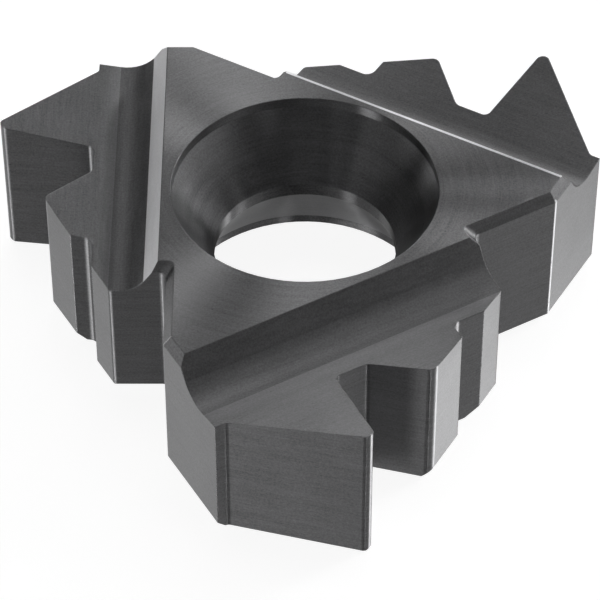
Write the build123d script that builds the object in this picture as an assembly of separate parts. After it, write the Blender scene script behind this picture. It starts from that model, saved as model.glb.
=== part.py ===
from build123d import *
import os
from math import cos, sin, tan, radians, degrees, atan2, hypot, sqrt

# Threading insert, one pressed, sintered and ground piece, millimetres.
# Origin on the screw hole axis at the flat bottom face, Z up through the hole.
# Each of the three wings has its own plan frame: x runs along the chip groove
# towards the full tooth, y runs outward from the hole, and the wing frames are
# turned about Z by the angles in wing_turns.

# blank
inscribed_r = 7.9375
thick = 6.23
wing_turns = (-30.0, 90.0, 210.0)
heel_x = -4.004
pocket_y = 4.834
foot_chamfer = 0.30
top_chamfer_in = 0.285
top_chamfer_down = 0.34
pocket_fillet = 0.30
pocket_fillet_top = 0.23
pocket_fillet_foot = 0.22
pocket_corner_r = 0.15
heel_corner_r = 0.20

# rake face and chip groove, as a section across the groove
rake_angle = 10.1
rake_toe_y = 6.90
rake_toe_drop = 1.224
groove_edge_y = 5.109
groove_wall_angle = 55.5
groove_r = 1.35

# buttress profile, its flank angles are true in the rake face
pressure_flank = 7.0
lead_flank = 45.0
tip_x = 3.764
tip_y = 11.423
tip_r = 0.26
root_y = 7.704
root_lead_r = 0.27
root_pressure_r = 0.25
rough_root_x = 2.029
rough_root_r = 0.38
rough_crest_r = 0.30
notch_x = -1.529
notch_y = 7.526
notch_r = 0.38

# screw hole, countersunk from both faces
hole_r = 3.30
sink_r = 4.785
waist_low = 2.80
waist_high = 3.31
foot_land = 0.33
top_land = 0.40

# how far the cutting tools run past the body
clear = 3.0


def line_meet(p, a, q, b):
    """Meeting point of two plan lines, each given by a point and a heading in degrees."""
    ax, ay = cos(radians(a)), sin(radians(a))
    bx, by = cos(radians(b)), sin(radians(b))
    cross = ax * by - ay * bx
    k = ((q[0] - p[0]) * by - (q[1] - p[1]) * bx) / cross
    return (p[0] + k * ax, p[1] + k * ay)


def step(p, a, length):
    """Plan point reached from p by going length along heading a."""
    return (p[0] + length * cos(radians(a)), p[1] + length * sin(radians(a)))


def turned(p, a):
    """Plan point turned about the hole axis."""
    c, s = cos(radians(a)), sin(radians(a))
    return (c * p[0] - s * p[1], s * p[0] + c * p[1])


def upright(face):
    """Cutter of a plan face, through the whole thickness."""
    return Pos(0, 0, -clear) * extrude(face, amount=thick + 2 * clear)


def rounding(corner, heading_in, heading_out, r):
    """Cutter that rounds an outward corner of the walls over the whole height.

    The outline runs anticlockwise, so it turns left at the corner.
    """
    turn = (heading_out - heading_in) % 360.0
    back = r * tan(radians(turn / 2))
    a = step(corner, heading_in + 180, back)
    b = step(corner, heading_out, back)
    centre = step(a, heading_in + 90, r)
    mid = step(centre, heading_in - 90 + turn / 2, r)
    a_out = step(a, heading_in - 90, r)
    b_out = step(b, heading_out - 90, r)
    far = step(corner, heading_in - 90 + turn / 2, 2 * r)
    edge = ThreePointArc(a, mid, b) + Polyline(b, b_out, far, a_out, a)
    return upright(make_face(edge))


def rounded_plan(points, radii):
    """Plan face of a polygon with some corners rounded, radii by point number."""
    plan = make_face(Polyline(*points, close=True))
    for number, r in radii.items():
        x, y = points[number]
        corner = plan.vertices().sort_by(lambda v: hypot(v.X - x, v.Y - y))[0]
        plan = fillet(corner, r)
    return plan


# heading of the triangle's side beyond the tooth, going away from the tooth
side_heading = 210.0


def side_at(inset):
    """A point of that side, with the side moved inward by inset."""
    return step((0.0, 0.0), side_heading - 90, inscribed_r - inset)


def wing_corners(inset):
    """Corners of one wing's share of the blank, with all its walls moved inward by inset."""
    side = side_at(inset)
    next_side = turned((inscribed_r - inset, 0.0), 120.0)
    peak = line_meet((inscribed_r - inset, 0.0), 90.0, side, side_heading)
    heel = line_meet((heel_x + inset, 0.0), 90.0, side, side_heading)
    pocket = (heel_x + inset, pocket_y - inset)
    pocket_end = line_meet(pocket, 0.0, next_side, side_heading)
    return peak, heel, pocket, pocket_end


def blank_plan(inset, r, height):
    """The blank's outline at a height, its three inward corners rounded by r."""
    points = []
    for turn in wing_turns:
        for p in wing_corners(inset):
            points.append(turned(p, turn))
    return Pos(0, 0, height) * rounded_plan(points, {2: r, 6: r, 10: r})


# blank with its pockets, and a chamfer round both faces
foot = blank_plan(foot_chamfer, pocket_fillet_foot, 0.0)
low = blank_plan(0.0, pocket_fillet, foot_chamfer)
high = blank_plan(0.0, pocket_fillet, thick - top_chamfer_down)
top = blank_plan(top_chamfer_in, pocket_fillet_top, thick)
blank = extrude(low, amount=thick - top_chamfer_down - foot_chamfer)
blank += loft([foot, low], ruled=True)
blank += loft([high, top], ruled=True)
side_point = side_at(0.0)
peak, heel, pocket, pocket_end = wing_corners(0.0)

# flanks turned from the rake face into the plan
squash = cos(radians(rake_angle))
lead_slope = degrees(atan2(tan(radians(lead_flank)), squash))
pressure_slope = degrees(atan2(tan(radians(pressure_flank)), squash))
tip = (tip_x, tip_y)
lead_heading = 90.0 + lead_slope
pressure_heading = 270.0 - pressure_slope
root_lead = line_meet(tip, lead_heading, (0.0, root_y), 0.0)
root_pressure = line_meet(tip, pressure_heading, (0.0, root_y), 0.0)
rough_root = (rough_root_x, root_y)
rough_crest = line_meet(rough_root, lead_heading, side_point, side_heading)
rough_out = step(rough_crest, lead_heading, clear)
notch = (notch_x, notch_y)

# full tooth and the space beside it
tooth_space = rounded_plan(
    [
        (inscribed_r + clear, root_y),
        (inscribed_r + clear, peak[1] + clear),
        (rough_out[0], peak[1] + clear),
        rough_out,
        rough_root,
        root_pressure,
        tip,
        root_lead,
    ],
    {4: rough_root_r, 5: root_pressure_r, 6: tip_r, 7: root_lead_r},
)

# space behind the roughing tooth
notch_top = step(notch, pressure_heading + 180, clear)
notch_space = rounded_plan(
    [
        notch,
        notch_top,
        (notch_x - clear, notch_top[1]),
        (notch_x - clear, notch_y),
    ],
    {0: notch_r},
)

# chip groove: wall, floor arc that runs into the rake face, rake face
slope = radians(rake_angle)
toe = (rake_toe_y, thick - rake_toe_drop)
arc_y = toe[0] - groove_r * sin(slope)
arc_z = toe[1] + groove_r * cos(slope)
wall = radians(groove_wall_angle)
offset = (groove_edge_y - arc_y) * sin(wall) + (thick - arc_z) * cos(wall)
half = sqrt(groove_r ** 2 - offset ** 2)
foot_angle = degrees(atan2(offset * cos(wall) - half * sin(wall), offset * sin(wall) + half * cos(wall)))
foot_turn = foot_angle % 360.0
wall_foot = step((arc_y, arc_z), foot_turn, groove_r)
floor_mid = step((arc_y, arc_z), (foot_turn + 270.0 + rake_angle) / 2, groove_r)
wall_top = (groove_edge_y - clear / tan(wall), thick + clear)
rake_end = step(toe, rake_angle, peak[1])
section = Polyline(wall_top, wall_foot)
section += ThreePointArc(wall_foot, floor_mid, toe)
section += Polyline(toe, rake_end, (rake_end[0], thick + clear), wall_top)
reach = 2 * peak[1]
groove = Pos(-reach, 0, 0) * extrude(Plane.YZ * make_face(section), amount=2 * reach)

# screw hole: land, cone, waist, cone, land
bore = Polyline(
    (0.0, -clear),
    (sink_r, -clear),
    (sink_r, foot_land),
    (hole_r, waist_low),
    (hole_r, waist_high),
    (sink_r, thick - top_land),
    (sink_r, thick + clear),
    (0.0, thick + clear),
    close=True,
)
hole = revolve(Plane.XZ * make_face(bore), Axis.Z)

# the same cuts at every wing
body = blank - hole
for turn in wing_turns:
    at_wing = Rot(0, 0, turn)
    body -= at_wing * upright(tooth_space)
    body -= at_wing * upright(notch_space)
    body -= at_wing * groove
    body -= at_wing * rounding(heel, side_heading, 270.0, heel_corner_r)
    body -= at_wing * rounding(pocket_end, 180.0, side_heading, pocket_corner_r)
    body -= at_wing * rounding(rough_crest, lead_heading, side_heading, rough_crest_r)

os.makedirs("parts", exist_ok=True)
export_step(body, "parts/threading_insert.step")
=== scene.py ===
from math import cos, radians, sin, tan

import bpy
import numpy as np
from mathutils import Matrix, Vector

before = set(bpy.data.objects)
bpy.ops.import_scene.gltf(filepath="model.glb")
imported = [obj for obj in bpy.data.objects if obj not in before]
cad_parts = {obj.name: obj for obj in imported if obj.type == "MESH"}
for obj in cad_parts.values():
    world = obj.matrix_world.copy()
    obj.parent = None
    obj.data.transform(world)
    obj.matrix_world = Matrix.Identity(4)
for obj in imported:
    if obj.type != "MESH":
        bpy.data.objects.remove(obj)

# Threading insert of dark coated carbide, lying on a pale studio floor.
# The CAD solid is shown as it is. What is made here is its ground and coated finish, with
# painted highlights and painted shade, the floor, the studio light and the camera.

scene = bpy.context.scene
scene.view_settings.view_transform = "Standard"

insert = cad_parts["threading_insert"]
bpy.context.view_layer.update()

# camera, in metres and degrees
CAMERA_PLACE = (-0.0000582, -0.0856544, 0.0859837)
CAMERA_TURN = (45.0795, 0.0397, 0.0438)
CAMERA_LENS = 197.28
CAMERA_SENSOR = 36.0
CAMERA_NEAR = 0.005
CAMERA_FAR = 5.0

camera_data = bpy.data.cameras.new("camera")
camera_data.lens = CAMERA_LENS
camera_data.sensor_width = CAMERA_SENSOR
camera_data.clip_start = CAMERA_NEAR
camera_data.clip_end = CAMERA_FAR
camera = bpy.data.objects.new("camera", camera_data)
camera.location = CAMERA_PLACE
camera.rotation_euler = [radians(a) for a in CAMERA_TURN]
scene.collection.objects.link(camera)
scene.camera = camera


class Graph:
    """A node tree, with one short call for each kind of node that is used."""

    def __init__(self, tree):
        self.tree = tree
        self.nodes = tree.nodes
        self.nodes.clear()

    def put(self, value, socket):
        """Links a socket, or sets a plain value."""
        if isinstance(value, bpy.types.NodeSocket):
            self.tree.links.new(value, socket)
        else:
            socket.default_value = value

    def math(self, operation, a, b=None, c=None):
        node = self.nodes.new("ShaderNodeMath")
        node.operation = operation
        for value, socket in zip((a, b, c), node.inputs):
            if value is not None:
                self.put(value, socket)
        return node.outputs[0]

    def over(self, value, limit):
        """1 where value is greater than limit, otherwise 0."""
        return self.math("GREATER_THAN", value, limit)

    def under(self, value, limit):
        """1 where value is less than limit, otherwise 0."""
        return self.math("LESS_THAN", value, limit)

    def both(self, a, b):
        """The share of a that is also in b."""
        return self.math("MULTIPLY", a, b)

    def add_share(self, amount, share, value):
        """Value with amount times share added."""
        return self.math("MULTIPLY_ADD", amount, share, value)

    def vector(self, operation, a, b=None, scale=None):
        node = self.nodes.new("ShaderNodeVectorMath")
        node.operation = operation
        self.put(a, node.inputs[0])
        if b is not None:
            self.put(b, node.inputs[1])
        if scale is not None:
            self.put(scale, node.inputs["Scale"])
        number = operation in ("DOT_PRODUCT", "LENGTH")
        return node.outputs["Value" if number else "Vector"]

    def dot(self, a, b):
        return self.vector("DOT_PRODUCT", a, b)

    def split(self, v):
        node = self.nodes.new("ShaderNodeSeparateXYZ")
        self.put(v, node.inputs[0])
        return node.outputs[0], node.outputs[1], node.outputs[2]

    def join(self, x, y, z):
        node = self.nodes.new("ShaderNodeCombineXYZ")
        for value, socket in zip((x, y, z), node.inputs):
            self.put(value, socket)
        return node.outputs[0]

    def between(self, value, low, high, to_low=0.0, to_high=1.0):
        """Value mapped from low..high to to_low..to_high, held at both ends."""
        node = self.nodes.new("ShaderNodeMapRange")
        self.put(value, node.inputs["Value"])
        self.put(low, node.inputs["From Min"])
        self.put(high, node.inputs["From Max"])
        self.put(to_low, node.inputs["To Min"])
        self.put(to_high, node.inputs["To Max"])
        return node.outputs["Result"]

    def choose(self, share, a, b):
        """Vector a where share is 0, b where it is 1."""
        node = self.nodes.new("ShaderNodeMix")
        node.data_type = "VECTOR"
        self.put(share, node.inputs[0])
        self.put(a, node.inputs[4])
        self.put(b, node.inputs[5])
        return node.outputs[1]

    def noise(self, vector, scale, roughness):
        """Noise spread over -1..1."""
        node = self.nodes.new("ShaderNodeTexNoise")
        self.put(vector, node.inputs["Vector"])
        self.put(scale, node.inputs["Scale"])
        self.put(NOISE_DETAIL, node.inputs["Detail"])
        self.put(roughness, node.inputs["Roughness"])
        return self.between(node.outputs[0], 0.3, 0.7, -1.0, 1.0)


UP = (0.0, 0.0, 1.0)
MM_PER_METRE = 1000.0

# headings of the wings are 60, 180 and 300 degrees. A wing is known by its heading
# agreeing with a way by more than the match.
WING_HEADING = 60
WING_TURN = 120
LEFT_WING_WAY = (-1.0, 0.0, 0.0)
RIGHT_WING_WAY = (0.5, 0.8660254, 0.0)
WING_MATCH = 0.9

# places on the insert, in millimetres: outward from the hole axis, then up
GROOVE_START = 5.0
GROOVE_EDGE = 5.109
RAKE_TOE = 6.90
HOLE_REACH = 4.9
WAIST_TOP = 3.5
GROOVE_TOP = 6.20

# surfaces told apart by their normal: it points up or down by more than the level
# rise on a level face, and by less than the wall rise on an upright wall. In a
# groove it points up by more than the groove rise, along the groove by less than
# the skew, and on the steep wall outward by the steep numbers.
LEVEL_RISE = 0.998
WALL_RISE = 0.1
GROOVE_RISE = 0.3
GROOVE_SKEW = 0.02
STEEP_FROM, STEEP_FULL = 0.74, 0.80

# broken edges: radius in metres, cosine of the turn in the shading where the polish and its
# painted highlight start and where they are full, and how far up or down an upright one may
# point
EDGE_RADIUS = 0.00006
EDGE_TURN_FROM, EDGE_TURN_FULL = 0.995, 0.96
UPRIGHT_RISE = 0.15

# grinding lines: their lean on the faces in degrees, how far they stretch a
# reflection, and how many streaks go to a millimetre across them and along them
LINE_LEAN = 7.0
LINE_STRETCH = 0.981
FINE_STREAKS = (20.0, 0.8, 0.8)
BROAD_STREAKS = (4.0, 0.15, 0.15)
NOISE_DETAIL = 3.0

# pattern space, in millimetres: how far apart the wings' groove patterns lie, and
# the radius at which the lines on the faces are measured along their length
WINGS_APART = 40.0
FACE_RADIUS = 5.0

# relief of the lines and the grain: depth in metres, and the grain's share
RELIEF_DEPTH = 0.0000016
RELIEF_STRENGTH = 0.3
RELIEF_GRAIN = 0.6

# gloss, tone and metal look of the coated carbide, and the metal look that the painted
# bright wall lacks
COATED_ROUGHNESS = 0.32
COATED_TONE = 0.185
BLUE_SHARE = 1.02
PAINTED_WALL_METAL = -0.7

# width of the painted highlight line and of the painted light band next to the toe, in
# millimetres
HIGHLIGHT_LINE_WIDTH = 0.1
TOE_WIDTH = 0.65

# upright corners with a painted highlight: place in the plan in millimetres, and how much
# brighter. A corner is painted fully up to the core and not at all past the reach.
CORNER_CORE = 0.035
CORNER_REACH = 0.07
CORNER_HIGHLIGHTS = (
    (8.94, -0.39, 0.45),
    (5.28, -5.67, 0.3),
    (4.50, -8.08, 0.3),
    (2.22, -11.54, 0.35),
    (-4.97, -4.06, 0.14),
    (-6.81, -3.99, 0.14),
    (-7.77, -1.51, 0.12),
    (-7.85, 3.305, 0.14),
    (-10.99, 3.725, 0.12),
)


def coated_carbide(material):
    """Ground carbide under a thin dark coating.

    Every surface carries fine lines from its grinding wheel. They run round the
    hole axis on both faces and in the hole, level along the walls, and along the
    groove in the grooves and rake faces. The lines stretch each reflection
    across them, and show as streaks in gloss, tone and relief.
    """
    material.use_nodes = True
    g = Graph(material.node_tree)
    coords = g.nodes.new("ShaderNodeTexCoord")
    place = g.vector("SCALE", coords.outputs["Object"], scale=MM_PER_METRE)
    normal = coords.outputs["Normal"]
    x, y, z = g.split(place)
    rise = g.split(normal)[2]
    rise_or_fall = g.math("ABSOLUTE", rise)
    out = g.join(x, y, 0.0)
    radius = g.vector("LENGTH", out)
    radial = g.vector("NORMALIZE", out)

    # wing frame: outward along the wing's middle, and along its groove
    first, turn = radians(WING_HEADING), radians(WING_TURN)
    bearing = g.math("ARCTAN2", y, x)
    sector = g.math("ROUND", g.math("DIVIDE", g.math("SUBTRACT", bearing, first), turn))
    heading = g.math("MULTIPLY_ADD", sector, turn, first)
    outward = g.join(g.math("COSINE", heading), g.math("SINE", heading), 0.0)
    along_groove = g.vector("CROSS_PRODUCT", outward, UP)
    y_wing = g.dot(place, outward)
    x_wing = g.dot(place, along_groove)
    left_wing = g.over(g.dot(outward, LEFT_WING_WAY), WING_MATCH)
    right_wing = g.over(g.dot(outward, RIGHT_WING_WAY), WING_MATCH)

    # which surface a point is on
    level = g.over(rise_or_fall, LEVEL_RISE)
    # painted shade: the hole's waist and lower land are darkened
    lower_hole_painted_shade = g.both(g.under(rise_or_fall, WALL_RISE), g.under(z, WAIST_TOP))
    lower_hole_painted_shade = g.both(lower_hole_painted_shade, g.under(radius, HOLE_REACH))
    skew = g.math("ABSOLUTE", g.dot(normal, along_groove))
    in_groove = g.both(g.over(rise, GROOVE_RISE), g.under(z, GROOVE_TOP))
    in_groove = g.both(in_groove, g.under(skew, GROOVE_SKEW))
    in_groove = g.both(in_groove, g.over(y_wing, GROOVE_START))
    on_face = g.both(level, g.math("SUBTRACT", 1.0, in_groove))

    # direction of the grinding lines, and the direction across them
    lines = g.vector("CROSS_PRODUCT", UP, normal)
    lines = g.choose(in_groove, lines, along_groove)
    lines = g.choose(on_face, lines, g.vector("CROSS_PRODUCT", UP, radial))
    across = g.vector("NORMALIZE", g.vector("CROSS_PRODUCT", normal, lines))

    # pattern space: first number across the lines, the others along them
    wall_space = g.join(z, x, y)
    apart = g.math("MULTIPLY", sector, WINGS_APART)
    groove_space = g.join(g.math("ADD", y_wing, z), x_wing, apart)
    x_round = g.dot(radial, (FACE_RADIUS, 0.0, 0.0))
    y_round = g.dot(radial, (0.0, FACE_RADIUS, 0.0))
    face_space = g.join(radius, x_round, y_round)
    space = g.choose(in_groove, wall_space, groove_space)
    space = g.choose(on_face, space, face_space)
    fine = g.noise(g.vector("MULTIPLY", space, FINE_STREAKS), scale=1.0, roughness=0.65)
    broad = g.noise(g.vector("MULTIPLY", space, BROAD_STREAKS), scale=1.0, roughness=0.55)
    grain = g.noise(place, scale=14.0, roughness=0.75)
    cloud = g.noise(place, scale=0.6, roughness=0.55)

    # edges are rounded a little, and the upright ones are polished, with a painted highlight
    # that makes them brighter
    broken_edge = g.nodes.new("ShaderNodeBevel")
    broken_edge.samples = 6
    broken_edge.inputs["Radius"].default_value = EDGE_RADIUS
    rounded = broken_edge.outputs[0]
    flat = g.nodes.new("ShaderNodeNewGeometry").outputs["Normal"]
    upright = g.under(g.math("ABSOLUTE", g.split(rounded)[2]), UPRIGHT_RISE)
    # polished upright edges: lower gloss roughness, and a painted highlight in their tone
    polish_and_highlight = g.both(g.between(g.dot(rounded, flat), EDGE_TURN_FROM, EDGE_TURN_FULL), upright)

    # painted highlights: the left wing's groove wall is painted lighter, rougher and less
    # like metal, and a thin line along the right wing's groove edge and some of the upright
    # corners are painted lighter
    steep = g.between(g.dot(normal, outward), STEEP_FROM, STEEP_FULL)
    # painted highlight: the left wing's steep groove wall
    painted_bright_wall = g.both(g.both(left_wing, steep), in_groove)
    # painted highlight: a thin line along the right wing's groove edge
    at_edge = g.over(y_wing, GROOVE_EDGE - HIGHLIGHT_LINE_WIDTH)
    groove_edge_highlight = g.both(g.both(right_wing, at_edge), on_face)
    # painted highlights on the upright corners listed above
    corner_highlight = 0.0
    for corner_x, corner_y, brighter in CORNER_HIGHLIGHTS:
        off_corner = g.vector("LENGTH", g.vector("SUBTRACT", out, (corner_x, corner_y, 0.0)))
        here = g.between(off_corner, CORNER_CORE, CORNER_REACH, brighter, 0.0)
        corner_highlight = g.math("ADD", here, corner_highlight)

    # painted light: on the other two wings the rake face is painted lighter next to its toe
    fading = g.between(y_wing, RAKE_TOE, RAKE_TOE + TOE_WIDTH, 1.0, 0.0)
    toe_painted_light = g.both(fading, g.over(y_wing, RAKE_TOE))
    toe_painted_light = g.both(g.both(toe_painted_light, in_groove), g.math("SUBTRACT", 1.0, right_wing))

    # gloss and tone: the coated value, and what each mark adds to it
    rough = COATED_ROUGHNESS
    for mark, share in (
        (fine, 0.02), (broad, 0.02), (grain, 0.02), (painted_bright_wall, 0.35), (polish_and_highlight, -0.12),
    ):
        rough = g.add_share(mark, share, rough)
    tone = COATED_TONE
    # in the tone, the left groove wall, the groove-edge line, the corners, the upright edges
    # and the toe band carry painted light, and the hole's lower lands carry painted shade
    for mark, share in (
        (fine, 0.022), (broad, 0.014), (grain, 0.045), (cloud, 0.008), (painted_bright_wall, 0.52),
        (polish_and_highlight, 0.1), (corner_highlight, 1.0), (lower_hole_painted_shade, -0.065), (toe_painted_light, 0.1),
        (groove_edge_highlight, 0.75),
    ):
        tone = g.add_share(mark, share, tone)
    colour = g.join(tone, tone, g.math("MULTIPLY", tone, BLUE_SHARE))

    # the lines and the grain stand in relief, and on the faces the lines lean outward
    lean = g.math("MULTIPLY", on_face, tan(radians(LINE_LEAN)))
    leaning = g.vector("ADD", rounded, g.vector("SCALE", radial, scale=lean))
    bump = g.nodes.new("ShaderNodeBump")
    bump.inputs["Strength"].default_value = RELIEF_STRENGTH
    bump.inputs["Distance"].default_value = RELIEF_DEPTH
    g.put(g.add_share(grain, RELIEF_GRAIN, fine), bump.inputs["Height"])
    g.put(g.vector("NORMALIZE", leaning), bump.inputs["Normal"])

    shader = g.nodes.new("ShaderNodeBsdfPrincipled")
    shader.inputs["Anisotropic"].default_value = LINE_STRETCH
    # the painted bright wall is also made less like metal
    g.put(g.add_share(painted_bright_wall, PAINTED_WALL_METAL, 1.0), shader.inputs["Metallic"])
    g.put(colour, shader.inputs["Base Color"])
    g.put(rough, shader.inputs["Roughness"])
    g.put(bump.outputs[0], shader.inputs["Normal"])
    g.put(across, shader.inputs["Tangent"])
    result = g.nodes.new("ShaderNodeOutputMaterial")
    g.put(shader.outputs[0], result.inputs["Surface"])


carbide = bpy.data.materials.new("coated_carbide")
coated_carbide(carbide)
for seat in insert.material_slots:
    seat.material = carbide


def plain_white(name, shade, lamp_light):
    """White paint seen from its front: lit by the lamps for its shade, glowing for the rest.

    lamp_light is what the lamps give an open level surface, so open ground comes out
    pure white.
    """
    material = bpy.data.materials.new(name)
    material.use_nodes = True
    g = Graph(material.node_tree)
    glow = g.nodes.new("ShaderNodeEmission")
    glow.inputs["Strength"].default_value = 1.0 - shade * lamp_light
    matt = g.nodes.new("ShaderNodeBsdfDiffuse")
    matt.inputs["Color"].default_value = (shade, shade, shade, 1.0)
    paint = g.nodes.new("ShaderNodeAddShader")
    g.put(glow.outputs[0], paint.inputs[0])
    g.put(matt.outputs[0], paint.inputs[1])
    clear = g.nodes.new("ShaderNodeBsdfTransparent")
    side = g.nodes.new("ShaderNodeNewGeometry")
    front_only = g.nodes.new("ShaderNodeMixShader")
    g.put(side.outputs["Backfacing"], front_only.inputs[0])
    g.put(paint.outputs[0], front_only.inputs[1])
    g.put(clear.outputs[0], front_only.inputs[2])
    result = g.nodes.new("ShaderNodeOutputMaterial")
    g.put(front_only.outputs[0], result.inputs["Surface"])
    return material


def stage_surface(name, points, material):
    """A stage piece from a grid of points, closed round its second direction.

    The camera sees it. The metal doesn't reflect it, and it holds back no lamp.
    """
    rows, columns = points.shape[:2]
    row, column = np.meshgrid(np.arange(rows - 1), np.arange(columns), indexing="ij")
    after = (column + 1) % columns
    near, far = row * columns, (row + 1) * columns
    faces = np.stack([near + column, far + column, far + after, near + after], -1)
    mesh = bpy.data.meshes.new(name)
    mesh.from_pydata(points.reshape(-1, 3).tolist(), [], faces.reshape(-1, 4).tolist())
    mesh.materials.append(material)
    piece = bpy.data.objects.new(name, mesh)
    scene.collection.objects.link(piece)
    piece.visible_glossy = False
    piece.visible_diffuse = False
    piece.visible_shadow = False


# stage, in metres: a level floor inside a round backdrop
STAGE_RADIUS = 0.5
FLOOR_DROP = 0.00001
FLOOR_REACH = np.array([0.0001, 0.01, 0.03, 0.1, STAGE_RADIUS])
FLOOR_SHADE = 0.3
LAMP_LIGHT = 0.33
STEPS_ROUND = 96
STEPS_UP = 49

round_way = np.linspace(0.0, 2 * np.pi, STEPS_ROUND, endpoint=False)
ring = np.stack([np.cos(round_way), np.sin(round_way), np.zeros_like(round_way)], -1)

# floor: rings from near the middle to the backdrop
floor_points = FLOOR_REACH[:, None, None] * ring + np.array([0.0, 0.0, -FLOOR_DROP])
stage_surface("floor", floor_points, plain_white("floor_paint", FLOOR_SHADE, LAMP_LIGHT))

# backdrop: a ball round everything, radius cos(rise) at height sin(rise), its faces inward
rise = np.radians(np.linspace(-89.9, 89.9, STEPS_UP))
ball = np.cos(rise)[:, None, None] * ring + np.sin(rise)[:, None, None] * np.array(UP)
stage_surface("backdrop", STAGE_RADIUS * ball, plain_white("backdrop_paint", 0.0, 0.0))

# studio light: soft oval lamps far away, each with the heading and elevation of
# its middle, half its width and height and its turn in degrees, and its strength
SOFT_LAMPS = (
    (91.4, 74, 6.5, 13.4, 133, 1.77),
    (355.9, 60.9, 3, 11.6, 126, 1.32),
    (77.5, 52.1, 16.3, 3.3, 177, 1.1),
    (113.6, 56.7, 3.4, 12.6, 119, 3.05),
    (332.6, 54.4, 8.5, 3, 66, 0.49),
    (102.4, 41.8, 3, 3.5, 89, 3.27),
    (95.5, 28.8, 10, 2.8, 106, 2.9),
    (107.7, 15.5, 10, 3, 81, 6.33),
    (95.2, 8.3, 9.2, 3, 128, 4.21),
    (72.1, 14.5, 4.6, 14.3, 76, 6.12),
    (246.7, -5.5, 10.9, 3.9, 95, 2.11),
    (231.8, -13.1, 9, 8.2, 4, 5.12),
    (264.2, -8.8, 3, 11.5, 1, 1.76),
    (285.8, -13.9, 6.3, 3, 88, 13.05),
    (22.3, -39.6, 3, 14.5, 36, 2.94),
    (27.8, -41.4, 11.3, 3, 171, 3.45),
    (129.4, -49.2, 4.3, 18.1, 94, 1.35),
    (355.2, -88, 8.5, 30.5, 157, 0.89),
    (358.2, 5.4, 16.8, 30.8, 92, 1.33),
    (34.1, 29.6, 19.1, 3.5, 110, 12.84),
    (50.5, 19, 4, 2.8, 170, 19.63),
    (228.1, -11, 57.5, 25.7, 179, 0.19),
    (209.7, -46.9, 5.2, 8.2, 132, 4.77),
    (83.5, 68, 5.4, 14.8, 155, 1.67),
    (150, -8, 14, 18, 0, 5.05),
    (180, -8, 14, 18, 0, 1.84),
    (300, -8, 14, 18, 0, 1.25),
    (0, -50, 26, 20, 0, 0.81),
    (180, -50, 26, 20, 0, 0.56),
    (240, -50, 26, 20, 0, 0.17),
    (242, -12, 4, 14, 0, 1.39),
    (200, 30, 18, 18, 0, 0.25),
    (352, -25, 8, 8, 0, 5.98),
)
AMBIENT = 0.091


def soft_studio(world, lamps, ambient):
    """World light of soft ovals: each is strength times exp(-r to the fourth).

    r is how far a direction lies from the oval's middle, in half widths and half heights.
    """
    world.use_nodes = True
    g = Graph(world.node_tree)
    coords = g.nodes.new("ShaderNodeTexCoord")
    toward = g.vector("NORMALIZE", coords.outputs["Generated"])
    total = ambient
    for heading, elevation, wide, high, turn, strength in lamps:
        h, e, t = radians(heading), radians(elevation), radians(turn)
        middle = Vector((cos(e) * cos(h), cos(e) * sin(h), sin(e)))
        side = Vector((-sin(h), cos(h), 0.0))
        top = middle.cross(side)
        width_way = (cos(t) * side + sin(t) * top) / radians(wide)
        height_way = (cos(t) * top - sin(t) * side) / radians(high)
        u = g.dot(toward, tuple(width_way))
        v = g.dot(toward, tuple(height_way))
        r_squared = g.math("MULTIPLY_ADD", u, u, g.math("MULTIPLY", v, v))
        r_fourth = g.math("MULTIPLY", r_squared, r_squared)
        fall = g.math("EXPONENT", g.math("MULTIPLY", r_fourth, -1.0))
        in_front = g.over(g.dot(toward, tuple(middle)), 0.0)
        total = g.add_share(fall, g.math("MULTIPLY", in_front, strength), total)
    air = g.nodes.new("ShaderNodeBackground")
    g.put(g.join(total, total, total), air.inputs["Color"])
    result = g.nodes.new("ShaderNodeOutputWorld")
    g.put(air.outputs[0], result.inputs["Surface"])


studio = bpy.data.worlds.new("studio")
scene.world = studio
soft_studio(studio, SOFT_LAMPS, AMBIENT)
